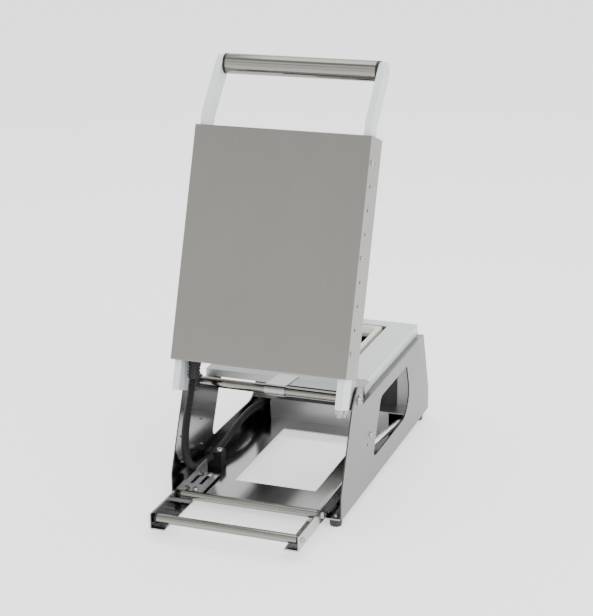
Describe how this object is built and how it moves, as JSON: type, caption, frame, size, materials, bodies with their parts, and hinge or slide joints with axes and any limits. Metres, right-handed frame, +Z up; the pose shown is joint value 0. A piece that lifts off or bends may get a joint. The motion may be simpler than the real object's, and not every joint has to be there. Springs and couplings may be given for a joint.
{
  "type": "tabletop tray sealer",
  "caption": "Tabletop tray sealer: a hinged heating head with a cross handle stands open over a raised tray deck, with a film cradle of free rollers behind.",
  "frame": {"origin": "on the table under the middle of the whole machine with its head open", "axes": "+Z up; the operator stands at -Y; the film cradle reaches out along +Y; +X is the operator's right"},
  "size_m": [0.2696, 0.587, 0.6272],
  "materials": {
    "stainless_panel": "brushed, semi-gloss",
    "side_sheet": "brushed, semi-gloss",
    "polished_sheet": "brushed, glossy",
    "stainless_cover": "brushed, warm grey",
    "polished_steel": "polished",
    "fastener_steel": "bright zinc",
    "spring_steel": "bright coil",
    "white_paint": "smooth satin",
    "deck_white": "satin",
    "die_cream": "satin",
    "carrier_grey": "satin",
    "bar_aluminium": "anodised",
    "plate_aluminium": "machined, coated",
    "grey_wall": "dark satin",
    "black_shield": "matt",
    "rubber_black": "matt",
    "plastic_black": "satin",
    "seal_rubber": "silicone",
    "mat_red": "silicone",
    "board_grey": "fibre board",
    "terminal_white": "matt",
    "label_metal": "satin blank",
    "lamp_amber": "translucent",
    "brass_pins": "plain"
  },
  "bodies": {
    "base": {"base_plate": "polished_sheet", "side_panel_left": "side_sheet", "side_panel_right": "side_sheet", "front_panel": "stainless_panel", "compartment_wall": "grey_wall", "heat_shield": "black_shield", "rubber_feet": "rubber_black", "tray_deck": "deck_white", "tray_die": "die_cream", "die_carrier": "carrier_grey", "die_seal": "seal_rubber", "deck_rear_bar": "bar_aluminium", "hinge_shaft": "polished_steel", "hinge_bolts": "fastener_steel", "shaft_spacers": "rubber_black", "shaft_strap": "polished_sheet", "head_conduit": "plastic_black", "head_cables": "rubber_black", "cable_clamp": "plastic_black", "base_terminals": "terminal_white", "lever_bumper": "rubber_black", "balance_spring": "spring_steel", "spring_anchor": "fastener_steel", "rack_bracket_left": "polished_sheet", "rack_bracket_right": "polished_sheet", "rack_spacers": "plastic_black", "roller_screws": "fastener_steel", "thermostat_body": "terminal_white", "power_switch": "plastic_black", "indicator_lamps": "lamp_amber", "mains_inlet": "plastic_black", "inlet_pins": "brass_pins", "data_plate": "label_metal", "plate_screws": "fastener_steel", "chassis_screws": "fastener_steel"},
    "head": {"head_arm_left": "white_paint", "head_arm_right": "white_paint", "hinge_block_right": "stainless_panel", "hinge_lever_left": "stainless_panel", "tail_bolts": "fastener_steel", "handle_tube": "polished_steel", "handle_rings": "plastic_black", "handle_screws": "fastener_steel", "head_cover": "stainless_cover", "cover_screws": "fastener_steel", "cover_spacers": "plastic_black", "head_frame": "polished_sheet", "film_knife": "polished_steel", "insulation_board": "board_grey", "head_gland": "plastic_black", "plate_springs": "spring_steel"},
    "pressing_plate": {"sealing_plate": "plate_aluminium", "heater_mat": "mat_red", "guide_pins": "polished_steel"},
    "rear_film_roller": {"rear_roller": "polished_steel", "rear_roller_caps": "plastic_black"},
    "front_film_roller": {"front_roller": "polished_steel", "front_roller_caps": "plastic_black"},
    "knob": {"thermostat_knob": "plastic_black"},
    "rocker": {"switch_rocker": "lamp_amber"}
  },
  "joints": [
    {"name": "head_tilt", "type": "hinge", "parent": "base", "child": "head", "pos_m": [0, 0.09554, 0.166], "axis": [1, 0, 0], "range_deg": [0, 70.8], "stiffness_Nm_per_rad": 8, "springref_deg": -34.38, "deforming": ["balance_spring", "head_conduit"]},
    {"name": "plate_press", "type": "slide", "parent": "head", "child": "pressing_plate", "axis": [0, 0.9444, 0.3289], "range_m": [0, 0.006], "stiffness_N_per_m": 4000, "springref_m": -0.005, "deforming": ["plate_springs"]},
    {"name": "rear_roller_spin", "type": "hinge", "parent": "base", "child": "rear_film_roller", "pos_m": [0, 0.28054, 0.029], "axis": [1, 0, 0], "continuous": true},
    {"name": "front_roller_spin", "type": "hinge", "parent": "base", "child": "front_film_roller", "pos_m": [0, 0.19654, 0.029], "axis": [1, 0, 0], "continuous": true},
    {"name": "thermostat_turn", "type": "hinge", "parent": "base", "child": "knob", "pos_m": [-0.055, -0.26846, 0.1], "axis": [0, -0.945, 0.3271], "range_deg": [-270, 0]},
    {"name": "switch_rock", "type": "hinge", "parent": "base", "child": "rocker", "pos_m": [0.055, -0.26588, 0.10135], "axis": [1, 0, 0], "range_deg": [0, 12]}
  ]
}
